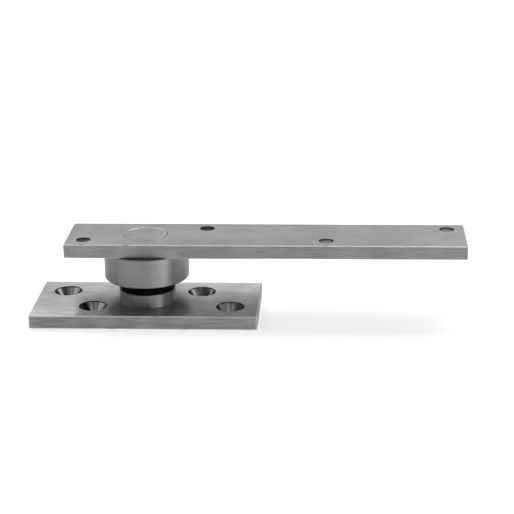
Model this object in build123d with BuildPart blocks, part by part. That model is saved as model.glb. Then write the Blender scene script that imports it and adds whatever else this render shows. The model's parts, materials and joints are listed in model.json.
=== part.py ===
from build123d import *
import os

# Center hung pivot hinge, in millimetres. A floor plate carries a fixed spindle, and a door arm
# turns on it through a roller thrust bearing and a bronze bush inside a turned housing.
# The origin is on the pivot axis at the floor plate's underside. +Z points up, and +X points
# along the long end of the door arm.

os.makedirs("parts", exist_ok=True)

# Floor plate, cut from flat bar
plate_length = 101.6
plate_width = 46.0
plate_thickness = 6.35
plate_edge_break = 0.5
plate_screw_end_margin = 12.7
plate_screw_side_margin = 13.1
plate_screw_stagger = 14.3
plate_screw_sink = 0.5

# Door arm, cut from flat bar
arm_length = 177.8
arm_width = 31.75
arm_thickness = 6.35
arm_edge_break = 0.4
arm_screw_count = 4
arm_screw_end_margin = 7.94
arm_screw_side_margin = 7.15
arm_spigot_edge_break = 0.5

# Flat head screw holes, the same in the plate and the arm
screw_hole_diameter = 6.75
screw_head_diameter = 12.8
screw_head_angle = 82

# Spindle, turned in one piece
shank_diameter = 19.05
collar_height = 5.8
collar_rim = 0.6
journal_diameter = 12.7
journal_lead = 1.0
journal_chamfer = 0.8

# Bearing housing, turned in one piece with the spigot that goes through the arm
housing_diameter = 38.1
housing_height = 13.2
housing_top_edge_break = 0.3
housing_bottom_edge_break = 0.6
spigot_diameter = 19.05
race_seat_depth = 2.18
blind_end_room = 0.8

# Roller thrust bearing
roller_diameter = 2.778
roller_length = 2.8
roller_count = 11
race_thickness = 2.4
race_land = 0.8
roller_cage_thickness = 1.8

# Bronze bush, pressed into the housing
bush_wall = 1.5875
bush_length = 9.525

# Dust seal, a rubber ring gripping the lower race, with a lip that flares up to the housing
seal_body_wall = 0.975
seal_body_height = 2.1
seal_neck_wall = 0.6
seal_lip_reach = 0.35
seal_lip_thickness = 0.5

# Clearances
rolling_clearance = 0.05
pocket_clearance = 0.08
cage_clearance = 0.25
race_bore_clearance = 0.025
bush_clearance = 0.05
turning_clearance = 0.3
lip_clearance = 0.15
bush_end_clearance = 0.3

# Radii worked outwards from the journal
journal_radius = journal_diameter / 2
roller_radius = roller_diameter / 2
lower_race_bore = journal_radius + race_bore_clearance
upper_race_bore = journal_radius + turning_clearance
roller_circle = lower_race_bore + race_land + roller_length / 2
race_radius = roller_circle + roller_length / 2 + race_land
bush_bore = journal_radius + bush_clearance
bush_radius = bush_bore + bush_wall
seal_body_radius = race_radius + seal_body_wall
seal_neck_radius = race_radius + seal_neck_wall
seal_lip_radius = seal_body_radius + seal_lip_reach
collar_radius = seal_lip_radius + collar_rim

# Heights worked up the stack from the floor
collar_top = plate_thickness + collar_height
lower_race_top = collar_top + race_thickness
roller_height = lower_race_top + rolling_clearance + roller_radius
upper_race_bottom = roller_height + roller_radius + rolling_clearance
upper_race_top = upper_race_bottom + race_thickness
housing_bottom = upper_race_top - race_seat_depth
housing_top = housing_bottom + housing_height
bush_bottom = upper_race_top + bush_end_clearance
bush_top = bush_bottom + bush_length
journal_top = bush_top + journal_lead
blind_end = journal_top + blind_end_room
seal_neck_height = collar_top + seal_body_height + seal_body_wall - seal_neck_wall
seal_top = housing_bottom - lip_clearance

# Screw places: staggered along both bars, and the pivot midway between the arm's first two screws
arm_screw_pitch = (arm_length - 2 * arm_screw_end_margin) / (arm_screw_count - 1)
arm_start = -arm_screw_end_margin - arm_screw_pitch / 2
arm_screw_offset = arm_width / 2 - arm_screw_side_margin
plate_screw_outer = plate_length / 2 - plate_screw_end_margin
plate_screw_inner = plate_screw_outer - plate_screw_stagger
plate_screw_offset = plate_width / 2 - plate_screw_side_margin
screw_hole_radius = screw_hole_diameter / 2
screw_head_radius = screw_head_diameter / 2

# Turns in degrees about X, Y and Z
facing_down = (180, 0, 0)
lying_down = (0, 90, 0)

# Floor plate, countersunk from above, with the screw heads sunk a little below its face
plate_sink_height = plate_thickness - plate_screw_sink
with BuildPart() as floor_plate:
    with BuildSketch(Plane.XY):
        Rectangle(plate_length, plate_width)
    extrude(amount=plate_thickness)
    chamfer(floor_plate.edges(), plate_edge_break)
    with Locations(
        (-plate_screw_outer, plate_screw_offset, plate_sink_height),
        (-plate_screw_inner, -plate_screw_offset, plate_sink_height),
        (plate_screw_inner, plate_screw_offset, plate_sink_height),
        (plate_screw_outer, -plate_screw_offset, plate_sink_height),
    ):
        CounterSinkHole(screw_hole_radius, screw_head_radius, counter_sink_angle=screw_head_angle)
    with BuildSketch(Plane.XY):
        Circle(shank_diameter / 2)
    extrude(amount=plate_thickness, mode=Mode.SUBTRACT)
floor_plate.part.label = "floor_plate"
export_step(floor_plate.part, "parts/floor_plate.step")

# Spindle: a shank pressed into the plate, a collar that stands on it, and the journal above
with BuildPart() as pivot_spindle:
    with BuildSketch(Plane.XY):
        Circle(shank_diameter / 2)
    extrude(amount=plate_thickness)
    with BuildSketch(Plane.XY.offset(plate_thickness)):
        Circle(collar_radius)
    extrude(amount=collar_height)
    with BuildSketch(Plane.XY.offset(collar_top)):
        Circle(journal_radius)
    extrude(amount=journal_top - collar_top)
    chamfer(pivot_spindle.edges().group_by(Axis.Z)[-1], journal_chamfer)
pivot_spindle.part.label = "pivot_spindle"
export_step(pivot_spindle.part, "parts/pivot_spindle.step")

# Dust seal: a square body below, an undercut, and a lip that flares out and up
with BuildPart() as dust_seal:
    with BuildSketch(Plane.XZ):
        with BuildLine():
            Polyline(
                (race_radius, collar_top),
                (seal_body_radius, collar_top),
                (seal_body_radius, collar_top + seal_body_height),
                (seal_neck_radius, seal_neck_height),
                (seal_lip_radius, seal_top),
                (seal_lip_radius - seal_lip_thickness, seal_top),
                (race_radius, collar_top + seal_body_height),
                close=True,
            )
        make_face()
    revolve(axis=Axis.Z)
dust_seal.part.label = "dust_seal"
export_step(dust_seal.part, "parts/dust_seal.step")

# Lower race: a hardened washer on the collar
with BuildPart() as lower_race:
    with BuildSketch(Plane.XY.offset(collar_top)):
        Circle(race_radius)
        Circle(lower_race_bore, mode=Mode.SUBTRACT)
    extrude(amount=race_thickness)
lower_race.part.label = "lower_race"
export_step(lower_race.part, "parts/lower_race.step")

# Upper race: the same washer with a wider bore, seated in the housing's recess
with BuildPart() as upper_race:
    with BuildSketch(Plane.XY.offset(upper_race_bottom)):
        Circle(race_radius)
        Circle(upper_race_bore, mode=Mode.SUBTRACT)
    extrude(amount=race_thickness)
upper_race.part.label = "upper_race"
export_step(upper_race.part, "parts/upper_race.step")

# Roller cage: a flat ring with a window for each roller
with BuildPart() as roller_cage:
    with BuildSketch(Plane.XY.offset(roller_height)):
        Circle(race_radius - cage_clearance)
        Circle(journal_radius + cage_clearance, mode=Mode.SUBTRACT)
        with PolarLocations(roller_circle, roller_count):
            Rectangle(
                roller_length + 2 * pocket_clearance,
                roller_diameter + 2 * pocket_clearance,
                mode=Mode.SUBTRACT,
            )
    extrude(amount=roller_cage_thickness / 2, both=True)
roller_cage.part.label = "roller_cage"
export_step(roller_cage.part, "parts/roller_cage.step")

# Thrust rollers, each lying along a radius
for number, place in enumerate(PolarLocations(roller_circle, roller_count), start=1):
    with BuildPart(Plane.XY.offset(roller_height)) as roller:
        with Locations(place):
            Cylinder(roller_radius, roller_length, rotation=lying_down)
    roller.part.label = f"roller_{number:02d}"
    export_step(roller.part, f"parts/roller_{number:02d}.step")

# Bronze bush: guides the journal, above the thrust bearing
with BuildPart() as pivot_bush:
    with BuildSketch(Plane.XY.offset(bush_bottom)):
        Circle(bush_radius)
        Circle(bush_bore, mode=Mode.SUBTRACT)
    extrude(amount=bush_length)
pivot_bush.part.label = "pivot_bush"
export_step(pivot_bush.part, "parts/pivot_bush.step")

# Bearing housing: a round cup with a spigot on top, and a stepped blind bore from below
with BuildPart() as bearing_housing:
    with BuildSketch(Plane.XY.offset(housing_bottom)):
        Circle(housing_diameter / 2)
    extrude(amount=housing_height)
    chamfer(bearing_housing.edges().group_by(Axis.Z)[-1], housing_top_edge_break)
    chamfer(bearing_housing.edges().group_by(Axis.Z)[0], housing_bottom_edge_break)
    with BuildSketch(Plane.XY.offset(housing_top)):
        Circle(spigot_diameter / 2)
    extrude(amount=arm_thickness)
    with BuildSketch(Plane.XY.offset(housing_bottom)):
        Circle(race_radius)
    extrude(amount=race_seat_depth, mode=Mode.SUBTRACT)
    with BuildSketch(Plane.XY.offset(upper_race_top)):
        Circle(bush_radius)
    extrude(amount=blind_end - upper_race_top, mode=Mode.SUBTRACT)
bearing_housing.part.label = "bearing_housing"
export_step(bearing_housing.part, "parts/bearing_housing.step")

# Door arm, countersunk from below, because its screws go up into the door
arm_screw_places = []
for index in range(arm_screw_count):
    along = arm_start + arm_screw_end_margin + index * arm_screw_pitch
    across = arm_screw_offset if index % 2 else -arm_screw_offset
    arm_screw_places.append(Location((along, across, housing_top), facing_down))
with BuildPart() as door_arm:
    with BuildSketch(Plane.XY.offset(housing_top)):
        with Locations((arm_start + arm_length / 2, 0)):
            Rectangle(arm_length, arm_width)
    extrude(amount=arm_thickness)
    chamfer(door_arm.edges(), arm_edge_break)
    with Locations(*arm_screw_places):
        CounterSinkHole(screw_hole_radius, screw_head_radius, counter_sink_angle=screw_head_angle)
    with BuildSketch(Plane.XY.offset(housing_top)):
        Circle(spigot_diameter / 2)
    extrude(amount=arm_thickness, mode=Mode.SUBTRACT)
    spigot_rims = door_arm.edges().filter_by(GeomType.CIRCLE).group_by(SortBy.RADIUS)[-1]
    chamfer(spigot_rims.sort_by(Axis.Z)[-1], arm_spigot_edge_break)
door_arm.part.label = "door_arm"
export_step(door_arm.part, "parts/door_arm.step")
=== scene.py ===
import json
import math

import bpy
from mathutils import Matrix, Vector


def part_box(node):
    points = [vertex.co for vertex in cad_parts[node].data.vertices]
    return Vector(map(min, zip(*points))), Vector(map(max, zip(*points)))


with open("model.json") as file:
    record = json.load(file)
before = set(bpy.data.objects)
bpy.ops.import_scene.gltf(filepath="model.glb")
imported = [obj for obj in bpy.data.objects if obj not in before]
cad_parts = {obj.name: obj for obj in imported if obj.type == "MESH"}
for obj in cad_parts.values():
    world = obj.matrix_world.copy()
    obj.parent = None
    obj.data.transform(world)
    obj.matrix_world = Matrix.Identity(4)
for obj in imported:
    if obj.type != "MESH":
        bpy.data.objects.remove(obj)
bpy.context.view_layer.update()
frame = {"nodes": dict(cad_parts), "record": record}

# Lengths are in metres and angles in degrees. A pair of numbers is a range.
MM = 0.001
UP = (0, 0, 1)
LEVEL = (1, 1, 0)
WHITE = (1, 1, 1, 1)

# Camera
CAMERA_PLACE = (0.087909, -0.684772, 0.257110)
CAMERA_TURN = (71.4213, 0.6761, 2.9546)
CAMERA_LENS_MM = 112.732
SENSOR_WIDTH_MM = 36.0
CLIP_RANGE = (0.01, 100)

# Stage and light
FLOOR_HALF_WIDTH = 40.0
FLOOR_DROP = 0.05 * MM
FLOOR_COLOR = (0.65, 0.65, 0.65, 1)
FLOOR_GLOW = 0.55
FAR_FLOOR_GLOW = 1.0
FLOOR_FADE = (0.3, 1.2)
ROOM_LEVEL = 0.05
# Soft boxes all stand at one distance and face the object. Directions are an azimuth from the back,
# clockwise, and an elevation. Widths and heights are in degrees, and a brightness of 1 is white.
LAMP_DISTANCE = 1.2
LAMP_TARGET = (0.02, 0, 0.02)

# Faces told apart by a part of their normal
SIDE_NORMALS = (0.1, 0.9)
LEVEL_NORMALS = (0.5, 0.9)
UNDERSIDE_NORMALS = (-0.9, -0.5)
END_NORMALS = (0.75, 0.95)
CHAMFER_NORMALS = (0.55, 0.85)
FLAT_NORMAL = 0.95
RIM_NORMAL = 0.2

# Noise: its detail, and the ranges of it that are spread over tones and roughness
NOISE_DETAIL = 3.0
FINE_DETAIL = 2.0
TONE_NOISE = (0.4, 0.6)
TEXTURE_NOISE = (0.35, 0.65)
ROUGH_NOISE = (0.3, 0.7)
SCRATCH_NOISE = (0.5, 1.0)

# Brushed bar: grain lines run along X
STREAK_SIZE = (10 * MM, 0.6 * MM, 0.6 * MM)
GRAIN_SIZE = (5 * MM, 0.12 * MM, 0.12 * MM)
CLOUD_SIZE = (14 * MM, 14 * MM, 14 * MM)
CLOUD_SHARE = 0.4
GRAIN_ROUGHENING = 0.5
STREAK_HEIGHT = 0.5
PLATE_TONES = (0.278, 0.42)
ARM_TONES = (0.256, 0.345)
# Painted light and shade: the plate's upright faces are painted darker and the arm's lighter than their
# tops, the arm's underside lighter and the bars' square ends darker
PLATE_SIDE_PAINTED_SHADE = 0.94
ARM_SIDE_PAINTED_LIGHT = 1.08
PLATE_UNDERSIDE_SHADE = 1.0
ARM_UNDERSIDE_PAINTED_LIGHT = 1.6
END_PAINTED_SHADE = 0.78
BAR_ROUGHNESS = (0.34, 0.41)
GRAIN_DEPTH = 0.012 * MM
# Painted light: the plate's top is painted lighter along its long edges, but not near the spindle or at
# its rear left corner
PAINTED_LIGHT_REACH = (8 * MM, 22 * MM)
PAINTED_LIGHT_GAIN = 0.5
PAINTED_LIGHT_CLEAR = (20 * MM, 30 * MM)
PAINTED_LIGHT_START = (-48 * MM, -20 * MM)
# A grain direction just off X still has a part that lies in the bars' square ends
GRAIN_DIRECTION = (1.0, 0.02, 0.01)

# Screw holes: cut with a rotating tool. Their upright walls carry painted shade, and the arm's have
# painted shade at the rim and painted light further down.
MOUNT_TOLERANCE = 1 * MM
HOLE_REACH = 6.9 * MM
TOOL_MARK_SIZE = (2 * MM, 2 * MM, 0.15 * MM)
HOLE_TONES = (0.21, 0.29)
HOLE_ROUGHNESS = (0.1, 0.15)
HOLE_MARK_DEPTH = 0.3
RIM_PAINTED_SHADE = 0.35
ARM_HOLE_PAINTED_LIGHT = 2.7
ARM_RIM_DEPTH = (0.3 * MM, 1.4 * MM)

# Turned pieces
RING_SIZE = (0.16 * MM, 0.16 * MM, 1)
BAND_SIZE = (1.3 * MM, 1.3 * MM, 1)
TURNED_CLOUD_SHARE = 0.5
RING_ROUGHENING = 0.5
SPINDLE_TONES = (0.232, 0.313)
HOUSING_TONES = (0.3, 0.37)
SPINDLE_ROUGHNESS = (0.33, 0.39)
HOUSING_ROUGHNESS = (0.42, 0.5)
FLUSH_DEPTH = 0.32 * MM
SPINDLE_LEVEL_SHADE = 1.0
# Painted shade: the housing's top and underside are darkened, in the gaps under the arm and over the
# plate
HOUSING_LEVEL_PAINTED_SHADE = 0.3

# Edges: worn bright, and chamfers with a painted highlight
EDGE_RADIUS = 0.06 * MM
EDGE_SAMPLES = 6
EDGE_FACING = (0.995, 0.93)
# Tone of worn edges and of painted highlights
EDGE_WEAR_AND_HIGHLIGHT_TONE = 0.9
EDGE_ROUGHNESS = 0.35
NICK_SIZE = (4 * MM, 1.5 * MM, 1.5 * MM)
NICK_NOISE = (0.3, 0.45)
NICK_WEAR = 0.35
# Painted highlight on the plate's upright edges at its +X end
CORNER_PAINTED_HIGHLIGHT = 0.4
# The wear and painted highlight on the edge round the spigot are broken up in patches
SPIGOT_EDGE_REACH = 11 * MM
PATCH_SIZE = (6 * MM, 6 * MM, 6 * MM)
PATCH_NOISE = (0.48, 0.56)
PATCH_LOSS = 0.45

# Grain stretches highlights across itself
STRETCH = 0.95
QUARTER_TURN = 0.25

# Pieces inside: two colours, roughness and the size of the texture
BEARING_COLORS = ((0.5, 0.5, 0.51, 1), (0.6, 0.6, 0.61, 1))
BEARING_ROUGHNESS = (0.1, 0.2)
BEARING_TEXTURE = 0.1 * MM
BRASS_COLORS = ((0.55, 0.36, 0.13, 1), (0.66, 0.45, 0.18, 1))
BRASS_ROUGHNESS = (0.25, 0.4)
BRONZE_COLORS = ((0.33, 0.19, 0.09, 1), (0.42, 0.25, 0.12, 1))
BRONZE_ROUGHNESS = (0.35, 0.5)
MACHINED_TEXTURE = 0.2 * MM
PATCH_RATIO = 20
TEXTURE_DEPTH = 0.05
TEXTURE_STRENGTH = 0.5

# Rubber
PEBBLE_SIZE = (0.12 * MM, 0.12 * MM, 0.12 * MM)
PEBBLE_DEPTH = 0.02 * MM
PEBBLE_STRENGTH = 0.6
DUST_SIZE = (3 * MM, 3 * MM, 3 * MM)
DUST_NOISE = (0.45, 0.75)
# The rubber is black, and its tone is set darker than rubber as painted shade in the gap under the
# housing
RUBBER_AND_PAINTED_SHADE_TONES = (0.0015, 0.004)
RUBBER_ROUGHNESS = (0.5, 0.65)
RUBBER_SPECULAR = 0.05


def add(tree, kind, inputs=(), **settings):
    """Adds a node. Each input is a plain value, or an output to link."""
    made = tree.nodes.new(kind)
    for name, value in settings.items():
        setattr(made, name, value)
    for socket, value in dict(inputs).items():
        if isinstance(value, bpy.types.NodeSocket):
            tree.links.new(value, made.inputs[socket])
        else:
            made.inputs[socket].default_value = value
    return made


def calc(tree, operation, *values):
    """The result of a Math node."""
    return add(tree, "ShaderNodeMath", enumerate(values), operation=operation).outputs["Value"]


def vector_calc(tree, operation, *values):
    """The result of a Vector Math node that gives a vector."""
    made = add(tree, "ShaderNodeVectorMath", enumerate(values), operation=operation)
    return made.outputs["Vector"]


def scale(tree, vector, factor):
    """A vector made longer or shorter."""
    inputs = {0: vector, "Scale": factor}
    return add(tree, "ShaderNodeVectorMath", inputs, operation="SCALE").outputs["Vector"]


def length(tree, vector):
    """A vector's length."""
    return add(tree, "ShaderNodeVectorMath", {0: vector}, operation="LENGTH").outputs["Value"]


def dot(tree, first, second):
    """The dot product of two vectors."""
    made = add(tree, "ShaderNodeVectorMath", {0: first, 1: second}, operation="DOT_PRODUCT")
    return made.outputs["Value"]


def xyz(tree, vector):
    """A vector's X, Y and Z."""
    return add(tree, "ShaderNodeSeparateXYZ", {"Vector": vector}).outputs


def flat(tree, place):
    """A place without its height."""
    return vector_calc(tree, "MULTIPLY", place, LEVEL)


def spread(tree, value, low, high, to_low=0.0, to_high=1.0):
    """A value's range mapped to another, held at the ends."""
    inputs = {"Value": value, "From Min": low, "From Max": high, "To Min": to_low, "To Max": to_high}
    return add(tree, "ShaderNodeMapRange", inputs).outputs["Result"]


def blend(tree, share, first, second):
    """A value between two others."""
    step = calc(tree, "SUBTRACT", second, first)
    return calc(tree, "ADD", first, calc(tree, "MULTIPLY", share, step))


def blend_vectors(tree, share, first, second):
    """A vector between two others."""
    step = vector_calc(tree, "SUBTRACT", second, first)
    return vector_calc(tree, "ADD", first, scale(tree, step, share))


def grey(tree, tone):
    """A neutral colour of that tone."""
    return add(tree, "ShaderNodeCombineColor", {0: tone, 1: tone, 2: tone}).outputs["Color"]


def to_world(tree, direction):
    """A direction on the piece as the render sees it, at any pose."""
    return add(tree, "ShaderNodeVectorTransform", {"Vector": direction}, vector_type="VECTOR",
               convert_from="OBJECT", convert_to="WORLD").outputs["Vector"]


def noise(tree, place, size, detail=NOISE_DETAIL):
    """Noise whose features have that size, in metres along each axis."""
    inputs = {"Vector": vector_calc(tree, "DIVIDE", place, size), "Scale": 1.0, "Detail": detail}
    return add(tree, "ShaderNodeTexNoise", inputs).outputs["Fac"]


def start_material(name):
    """A material with an empty node tree, and its own coordinates in metres."""
    material = bpy.data.materials.new(name)
    material.use_nodes = True
    tree = material.node_tree
    tree.nodes.clear()
    place = add(tree, "ShaderNodeTexCoord").outputs["Object"]
    return material, tree, place


def end_material(tree, shader):
    """Gives the material its surface."""
    add(tree, "ShaderNodeOutputMaterial", {"Surface": shader.outputs[0]})


def own_normal(tree):
    """The X, Y and Z of a surface's normal in the piece's own frame, at any pose."""
    normal = add(tree, "ShaderNodeNewGeometry").outputs["True Normal"]
    own = add(tree, "ShaderNodeVectorTransform", {"Vector": normal}, vector_type="NORMAL",
              convert_from="WORLD", convert_to="OBJECT").outputs["Vector"]
    return xyz(tree, own)


def facing_up(tree):
    """How much a surface faces up: 1 on tops, 0 on upright faces and -1 on undersides."""
    return own_normal(tree)["Z"]


def normal_height(tree):
    """How much a surface faces up or down: 1 on level faces, 0 on upright ones."""
    return calc(tree, "ABSOLUTE", facing_up(tree))


def underside(tree, shade):
    """A factor that is 1, and shade on undersides."""
    return spread(tree, facing_up(tree), *UNDERSIDE_NORMALS, shade, 1.0)


def level_faces(tree, shade):
    """A factor that is 1, and shade on level faces, up or down."""
    return spread(tree, normal_height(tree), *LEVEL_NORMALS, 1.0, shade)


def diagonal(tree, part):
    """1 where that part of the normal is that of a face at about 45 degrees."""
    low, high = CHAMFER_NORMALS
    above = calc(tree, "GREATER_THAN", part, low)
    return calc(tree, "MULTIPLY", above, calc(tree, "LESS_THAN", part, high))


def chamfers(tree):
    """A mask of the faces that slope at about 45 degrees."""
    return diagonal(tree, normal_height(tree))


def painted_highlight_corners(tree):
    """Painted highlight on the plate's sloping edges, and less so on its upright edges at the +X end."""
    corners = calc(tree, "MULTIPLY", diagonal(tree, own_normal(tree)["X"]), CORNER_PAINTED_HIGHLIGHT)
    return calc(tree, "MAXIMUM", chamfers(tree), corners)


def edge_wear(tree):
    """Where edges are, from 0 to 1, and the normal that rounds them a little."""
    bevel = add(tree, "ShaderNodeBevel", {"Radius": EDGE_RADIUS}, samples=EDGE_SAMPLES)
    rounded = bevel.outputs["Normal"]
    normal = add(tree, "ShaderNodeNewGeometry").outputs["Normal"]
    return spread(tree, dot(tree, rounded, normal), *EDGE_FACING), rounded


def hole_centres(node):
    """Centres of a bar's screw holes, from the record's bolt patterns."""
    low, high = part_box(node)
    centres = []
    for mount in frame["record"]["mounts"]:
        x, y, z = mount["pos_m"]
        in_bar = low.z - MOUNT_TOLERANCE < z < high.z + MOUNT_TOLERANCE
        if mount["kind"] == "bolt_pattern" and in_bar:
            half = mount["dims"]["spacing_x_mm"] / 2 * MM
            centres += [(x - half, y, 0), (x + half, y, 0)]
    return centres


def hole_walls(tree, place, centres):
    """Masks of the holes and of their walls, and the direction out from the nearest hole's centre."""
    flat_place = flat(tree, place)
    outward, inside = (0, 0, 0), 0.0
    for centre in centres:
        offset = vector_calc(tree, "SUBTRACT", flat_place, centre)
        near = calc(tree, "LESS_THAN", length(tree, offset), HOLE_REACH)
        outward = vector_calc(tree, "ADD", outward, scale(tree, offset, near))
        inside = calc(tree, "ADD", inside, near)
    steep = calc(tree, "LESS_THAN", normal_height(tree), FLAT_NORMAL)
    return inside, calc(tree, "MULTIPLY", inside, steep), outward


def long_grain(tree, place, tones, side_shade, under_shade):
    """Satin finish brushed along X: tone, roughness, height and grain direction. The tone carries painted
    light and shade on upright faces, square ends and undersides.
    """
    streak = noise(tree, place, STREAK_SIZE)
    grain = noise(tree, place, GRAIN_SIZE, FINE_DETAIL)
    mottle = blend(tree, CLOUD_SHARE, streak, noise(tree, place, CLOUD_SIZE))
    # Painted light and shade by which way a face points
    side = spread(tree, normal_height(tree), *SIDE_NORMALS, side_shade, 1.0)
    sideways = calc(tree, "ABSOLUTE", own_normal(tree)["X"])
    end = spread(tree, sideways, *END_NORMALS, 1.0, END_PAINTED_SHADE)
    shade = calc(tree, "MULTIPLY", calc(tree, "MULTIPLY", side, end), underside(tree, under_shade))
    tone = calc(tree, "MULTIPLY", spread(tree, mottle, *TONE_NOISE, *tones), shade)
    scratch = calc(tree, "MULTIPLY_ADD", grain, GRAIN_ROUGHENING, streak)
    roughness = spread(tree, scratch, *SCRATCH_NOISE, *BAR_ROUGHNESS)
    height = calc(tree, "MULTIPLY_ADD", streak, STREAK_HEIGHT, grain)
    return tone, roughness, height, to_world(tree, GRAIN_DIRECTION)


def paint_light_along_edges(tree, place, finish):
    """Painted light: a finish made lighter on the plate's top along its long edges."""
    tone, *others = finish
    at = xyz(tree, place)
    near, edge = PAINTED_LIGHT_REACH
    front = spread(tree, at["Y"], -near, -edge)
    start = spread(tree, at["X"], *PAINTED_LIGHT_START)
    back = calc(tree, "MULTIPLY", spread(tree, at["Y"], near, edge), start)
    clear = spread(tree, length(tree, flat(tree, place)), *PAINTED_LIGHT_CLEAR)
    top = calc(tree, "MULTIPLY", spread(tree, facing_up(tree), *LEVEL_NORMALS), clear)
    # Painted light: where the plate's top is lightened
    painted_light = calc(tree, "MULTIPLY", calc(tree, "ADD", front, back), top)
    return calc(tree, "MULTIPLY", tone, blend(tree, painted_light, 1.0, 1.0 + PAINTED_LIGHT_GAIN)), *others


def tool_marks(tree, place, outward, wall_painted_shading):
    """The finish of a drilled and countersunk hole: fine rings round it, and painted shade on upright
    walls, which turns to painted light where the factor is above 1.
    """
    mark = noise(tree, place, TOOL_MARK_SIZE)
    upright = calc(tree, "LESS_THAN", normal_height(tree), RIM_NORMAL)
    # Painted shading on the upright walls
    shade = blend(tree, upright, 1.0, wall_painted_shading)
    tone = calc(tree, "MULTIPLY", spread(tree, mark, *TEXTURE_NOISE, *HOLE_TONES), shade)
    roughness = spread(tree, mark, *ROUGH_NOISE, *HOLE_ROUGHNESS)
    around = to_world(tree, vector_calc(tree, "CROSS_PRODUCT", UP, outward))
    return tone, roughness, calc(tree, "MULTIPLY", mark, HOLE_MARK_DEPTH), around


def lathe_rings(tree, place, tones, roughness_range, level_shade):
    """Turned finish: fine rings round the pivot axis, with painted shade on level faces."""
    radius = length(tree, flat(tree, place))
    inputs = {"X": radius, "Y": xyz(tree, place)["Z"]}
    ring_place = add(tree, "ShaderNodeCombineXYZ", inputs).outputs["Vector"]
    ring = noise(tree, ring_place, RING_SIZE, FINE_DETAIL)
    band = noise(tree, ring_place, BAND_SIZE, FINE_DETAIL)
    mottle = blend(tree, TURNED_CLOUD_SHARE, band, noise(tree, place, CLOUD_SIZE))
    tone = spread(tree, mottle, *TONE_NOISE, *tones)
    # Painted shade on level faces
    tone = calc(tree, "MULTIPLY", tone, level_faces(tree, level_shade))
    scratch = calc(tree, "MULTIPLY_ADD", ring, RING_ROUGHENING, band)
    roughness = spread(tree, scratch, *SCRATCH_NOISE, *roughness_range)
    around = add(tree, "ShaderNodeTangent", direction_type="RADIAL", axis="Z").outputs["Tangent"]
    return tone, roughness, ring, around


def mix_finishes(tree, share, first, second):
    """One finish where share is 0, and another where it is 1."""
    mixed = [blend(tree, share, a, b) for a, b in zip(first[:3], second[:3])]
    return *mixed, blend_vectors(tree, share, first[3], second[3])


def end_steel(tree, place, finish, crisp=0.0, slope=0.0):
    """The steel shader for a finish. Edges are worn bright and slopes get a painted highlight, except
    where crisp is 1.
    """
    tone, roughness, height, direction = finish
    edge, rounded = edge_wear(tree)
    uneven = spread(tree, noise(tree, place, NICK_SIZE), *NICK_NOISE, NICK_WEAR, 1.0)
    kept = calc(tree, "MULTIPLY", uneven, calc(tree, "SUBTRACT", 1.0, crisp))
    # Wear on edges, and painted highlight on slopes
    worn_and_highlight = calc(tree, "MULTIPLY", calc(tree, "MAXIMUM", edge, slope), kept)
    normal = add(tree, "ShaderNodeNewGeometry").outputs["Normal"]
    bump = add(tree, "ShaderNodeBump", {
        "Height": height,
        "Distance": GRAIN_DEPTH,
        "Strength": 1.0,
        "Normal": blend_vectors(tree, crisp, rounded, normal),
    })
    shader = add(tree, "ShaderNodeBsdfPrincipled", {
        "Base Color": grey(tree, blend(tree, worn_and_highlight, tone, EDGE_WEAR_AND_HIGHLIGHT_TONE)),
        "Metallic": 1.0,
        "Roughness": blend(tree, worn_and_highlight, roughness, EDGE_ROUGHNESS),
        "Normal": bump.outputs["Normal"],
        "Anisotropic": STRETCH,
        "Anisotropic Rotation": QUARTER_TURN,
        "Tangent": vector_calc(tree, "NORMALIZE", direction),
    })
    end_material(tree, shader)


def plate_steel(name):
    """Satin stainless bar with long grain, painted light along its long edges, painted highlights on its
    chamfers, and tool marks in its screw holes.
    """
    material, tree, place = start_material(name)
    hole, wall, outward = hole_walls(tree, place, hole_centres("floor_plate"))
    grain = long_grain(tree, place, PLATE_TONES, PLATE_SIDE_PAINTED_SHADE, PLATE_UNDERSIDE_SHADE)
    grain = paint_light_along_edges(tree, place, grain)
    finish = mix_finishes(tree, wall, grain, tool_marks(tree, place, outward, RIM_PAINTED_SHADE))
    end_steel(tree, place, finish, hole, painted_highlight_corners(tree))
    return material


def spigot_patches(tree, place):
    """Where the edge round the spigot has less wear and less painted highlight."""
    near = calc(tree, "LESS_THAN", length(tree, flat(tree, place)), SPIGOT_EDGE_REACH)
    patch = spread(tree, noise(tree, place, PATCH_SIZE), *PATCH_NOISE, 0.0, PATCH_LOSS)
    return calc(tree, "MULTIPLY", near, patch)


def arm_steel(name):
    """Satin stainless bar with long grain, painted highlights on its chamfers, and tool marks in its
    screw holes, with painted shade at their rims and painted light further down.
    """
    material, tree, place = start_material(name)
    hole, wall, outward = hole_walls(tree, place, hole_centres("door_arm"))
    grain = long_grain(tree, place, ARM_TONES, ARM_SIDE_PAINTED_LIGHT, ARM_UNDERSIDE_PAINTED_LIGHT)
    depth = calc(tree, "SUBTRACT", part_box("door_arm")[1].z, xyz(tree, place)["Z"])
    # Painted shade at the rim of the hole walls, painted light further down
    wall_painted_shading = spread(tree, depth, *ARM_RIM_DEPTH, RIM_PAINTED_SHADE, ARM_HOLE_PAINTED_LIGHT)
    finish = mix_finishes(tree, wall, grain, tool_marks(tree, place, outward, wall_painted_shading))
    crisp = calc(tree, "MAXIMUM", hole, spigot_patches(tree, place))
    end_steel(tree, place, finish, crisp, chamfers(tree))
    return material


def turned_steel(name):
    """Stainless from the lathe."""
    material, tree, place = start_material(name)
    turned = lathe_rings(tree, place, SPINDLE_TONES, SPINDLE_ROUGHNESS, SPINDLE_LEVEL_SHADE)
    end_steel(tree, place, turned)
    return material


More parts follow.
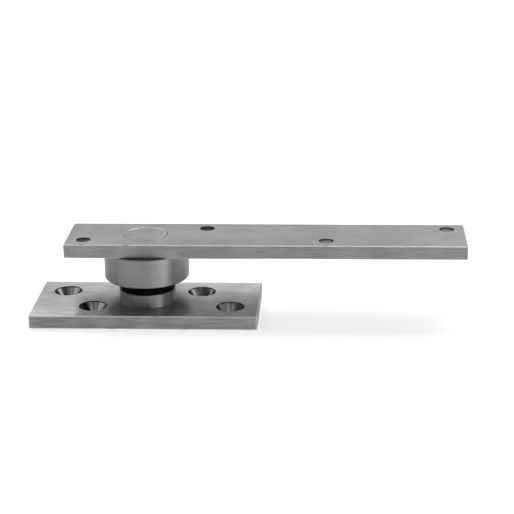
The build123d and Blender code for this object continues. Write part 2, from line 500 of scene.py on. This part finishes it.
def flush_turned_steel(name):
    """Stainless from the lathe, with its end ground flush with the arm and brushed with it."""
    material, tree, place = start_material(name)
    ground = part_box("door_arm")[1].z - FLUSH_DEPTH
    flush = calc(tree, "GREATER_THAN", xyz(tree, place)["Z"], ground)
    turned = lathe_rings(tree, place, HOUSING_TONES, HOUSING_ROUGHNESS, HOUSING_LEVEL_PAINTED_SHADE)
    brushed = long_grain(tree, place, ARM_TONES, ARM_SIDE_PAINTED_LIGHT, ARM_UNDERSIDE_PAINTED_LIGHT)
    end_steel(tree, place, mix_finishes(tree, flush, turned, brushed))
    return material


def plain_metal(name, colors, roughness_range, texture):
    """Ground or machined metal with a fine even texture, for the pieces inside."""
    material, tree, place = start_material(name)
    patch = PATCH_RATIO * texture
    fine = noise(tree, place, (texture, texture, texture))
    cloud = noise(tree, place, (patch, patch, patch))
    ramp = add(tree, "ShaderNodeValToRGB", {"Fac": spread(tree, cloud, *TEXTURE_NOISE)})
    for stop, color in zip(ramp.color_ramp.elements, colors):
        stop.color = color
    bump = add(tree, "ShaderNodeBump", {
        "Height": fine,
        "Distance": TEXTURE_DEPTH * texture,
        "Strength": TEXTURE_STRENGTH,
    })
    shader = add(tree, "ShaderNodeBsdfPrincipled", {
        "Base Color": ramp.outputs["Color"],
        "Metallic": 1.0,
        "Roughness": spread(tree, fine, *ROUGH_NOISE, *roughness_range),
        "Normal": bump.outputs["Normal"],
    })
    end_material(tree, shader)
    return material


def bearing_steel(name):
    """Ground and hardened, for the races and rollers."""
    return plain_metal(name, BEARING_COLORS, BEARING_ROUGHNESS, BEARING_TEXTURE)


def cage_brass(name):
    """Machined brass, for the cage."""
    return plain_metal(name, BRASS_COLORS, BRASS_ROUGHNESS, MACHINED_TEXTURE)


def bush_bronze(name):
    """Machined bronze, for the bush."""
    return plain_metal(name, BRONZE_COLORS, BRONZE_ROUGHNESS, MACHINED_TEXTURE)


def black_rubber(name):
    """Matte moulded rubber with a fine pebble and a few dusty patches, its tone set near black with
    painted shade.
    """
    material, tree, place = start_material(name)
    pebble = noise(tree, place, PEBBLE_SIZE)
    dust = noise(tree, place, DUST_SIZE)
    bump = add(tree, "ShaderNodeBump", {
        "Height": pebble,
        "Distance": PEBBLE_DEPTH,
        "Strength": PEBBLE_STRENGTH,
    })
    shader = add(tree, "ShaderNodeBsdfPrincipled", {
        "Base Color": grey(tree, spread(tree, dust, *DUST_NOISE, *RUBBER_AND_PAINTED_SHADE_TONES)),
        "Roughness": spread(tree, dust, *ROUGH_NOISE, *RUBBER_ROUGHNESS),
        "Specular IOR Level": RUBBER_SPECULAR,
        "Normal": bump.outputs["Normal"],
    })
    end_material(tree, shader)
    return material


def seen_directly(tree):
    """1 for what the camera sees, straight or in metal or glass, and 0 for light that falls on things."""
    path = add(tree, "ShaderNodeLightPath").outputs
    seen = calc(tree, "MAXIMUM", path["Is Camera Ray"], path["Is Glossy Ray"])
    return calc(tree, "MAXIMUM", seen, path["Is Transmission Ray"])


def pale_floor(name):
    """Pale floor that takes a shadow, with a glow that brings it to white, more so far from the lamps."""
    material, tree, place = start_material(name)
    matte = add(tree, "ShaderNodeBsdfDiffuse", {"Color": FLOOR_COLOR})
    level = spread(tree, length(tree, place), *FLOOR_FADE, FLOOR_GLOW, FAR_FLOOR_GLOW)
    strength = calc(tree, "MULTIPLY", seen_directly(tree), level)
    glow = add(tree, "ShaderNodeEmission", {"Color": WHITE, "Strength": strength})
    end_material(tree, add(tree, "ShaderNodeAddShader", {0: matte.outputs[0], 1: glow.outputs[0]}))
    return material


def make_floor():
    """A wide floor just under the part."""
    mesh = bpy.data.meshes.new("floor")
    w = FLOOR_HALF_WIDTH
    z = -FLOOR_DROP
    mesh.from_pydata([(-w, -w, z), (w, -w, z), (w, w, z), (-w, w, z)], [], [(0, 1, 2, 3)])
    floor = bpy.data.objects.new("floor", mesh)
    bpy.context.scene.collection.objects.link(floor)
    mesh.materials.append(pale_floor("pale_floor"))


def make_world():
    """A dim even room round the soft boxes."""
    world = bpy.data.worlds.new("studio")
    bpy.context.scene.world = world
    world.use_nodes = True
    tree = world.node_tree
    tree.nodes.clear()
    room = add(tree, "ShaderNodeBackground", {"Color": WHITE, "Strength": ROOM_LEVEL})
    add(tree, "ShaderNodeOutputWorld", {"Surface": room.outputs[0]})


def soft_box(name, azimuth, elevation, wide, high, brightness):
    """A soft box that faces the object."""
    light = bpy.data.lights.new(name, "AREA")
    light.shape = "RECTANGLE"
    light.size = 2 * LAMP_DISTANCE * math.tan(math.radians(wide / 2))
    light.size_y = 2 * LAMP_DISTANCE * math.tan(math.radians(high / 2))
    light.energy = brightness * math.pi * light.size * light.size_y
    lamp = bpy.data.objects.new(name, light)
    turn, rise = math.radians(azimuth), math.radians(elevation)
    across = math.cos(rise)
    outward = Vector((math.sin(turn) * across, math.cos(turn) * across, math.sin(rise)))
    lamp.location = Vector(LAMP_TARGET) + LAMP_DISTANCE * outward
    lamp.rotation_euler = outward.to_track_quat("Z", "Y").to_euler()
    lamp.visible_camera = False
    bpy.context.scene.collection.objects.link(lamp)


def make_camera():
    """The photograph's camera."""
    data = bpy.data.cameras.new("camera")
    data.sensor_fit = "HORIZONTAL"
    data.sensor_width = SENSOR_WIDTH_MM
    data.lens = CAMERA_LENS_MM
    data.clip_start, data.clip_end = CLIP_RANGE
    camera = bpy.data.objects.new("camera", data)
    camera.location = CAMERA_PLACE
    camera.rotation_euler = [math.radians(a) for a in CAMERA_TURN]
    bpy.context.scene.collection.objects.link(camera)
    bpy.context.scene.camera = camera


def dress(node, material):
    """Gives a CAD node its one material."""
    mesh = frame["nodes"][node].data
    mesh.materials.clear()
    mesh.materials.append(material)


dress("floor_plate", plate_steel("satin_bar_plate"))
dress("door_arm", arm_steel("satin_bar_arm"))
dress("pivot_spindle", turned_steel("turned_steel_spindle"))
dress("bearing_housing", flush_turned_steel("turned_steel_housing"))
dress("dust_seal", black_rubber("black_rubber"))
dress("roller_cage", cage_brass("cage_brass"))
dress("pivot_bush", bush_bronze("bush_bronze"))
bearing = bearing_steel("bearing_steel")
for node in frame["nodes"]:
    is_roller = node.startswith("roller_") and node != "roller_cage"
    if is_roller or node.endswith("_race"):
        dress(node, bearing)

make_floor()
make_world()
soft_box("overhead", azimuth=0, elevation=93, wide=42, high=38, brightness=0.25)
soft_box("top_back", azimuth=0, elevation=66, wide=60, high=28, brightness=2.65)
soft_box("back", azimuth=0, elevation=40, wide=50, high=18, brightness=1.75)
soft_box("back_low", azimuth=0, elevation=22, wide=50, high=14, brightness=0.3)
soft_box("right_back", azimuth=55, elevation=50, wide=36, high=40, brightness=1.4)
soft_box("right", azimuth=92, elevation=45, wide=36, high=40, brightness=0.4)
soft_box("right_end", azimuth=90, elevation=10, wide=20, high=16, brightness=0.4)
soft_box("right_front", azimuth=130, elevation=55, wide=36, high=40, brightness=0.5)
soft_box("right_low", azimuth=130, elevation=8, wide=22, high=18, brightness=2.1)
soft_box("right_low_wide", azimuth=135, elevation=8, wide=56, high=18, brightness=1.5)
soft_box("front_high", azimuth=180, elevation=62, wide=50, high=24, brightness=0.3)
soft_box("front", azimuth=190, elevation=34, wide=60, high=20, brightness=0.4)
soft_box("left_front", azimuth=235, elevation=45, wide=40, high=40, brightness=0.36)
soft_box("left", azimuth=272, elevation=40, wide=34, high=36, brightness=0.95)
soft_box("left_low", azimuth=285, elevation=14, wide=40, high=20, brightness=0.25)
soft_box("back_left", azimuth=312, elevation=45, wide=40, high=40, brightness=0.55)
make_camera()
bpy.context.scene.view_settings.view_transform = "Standard"
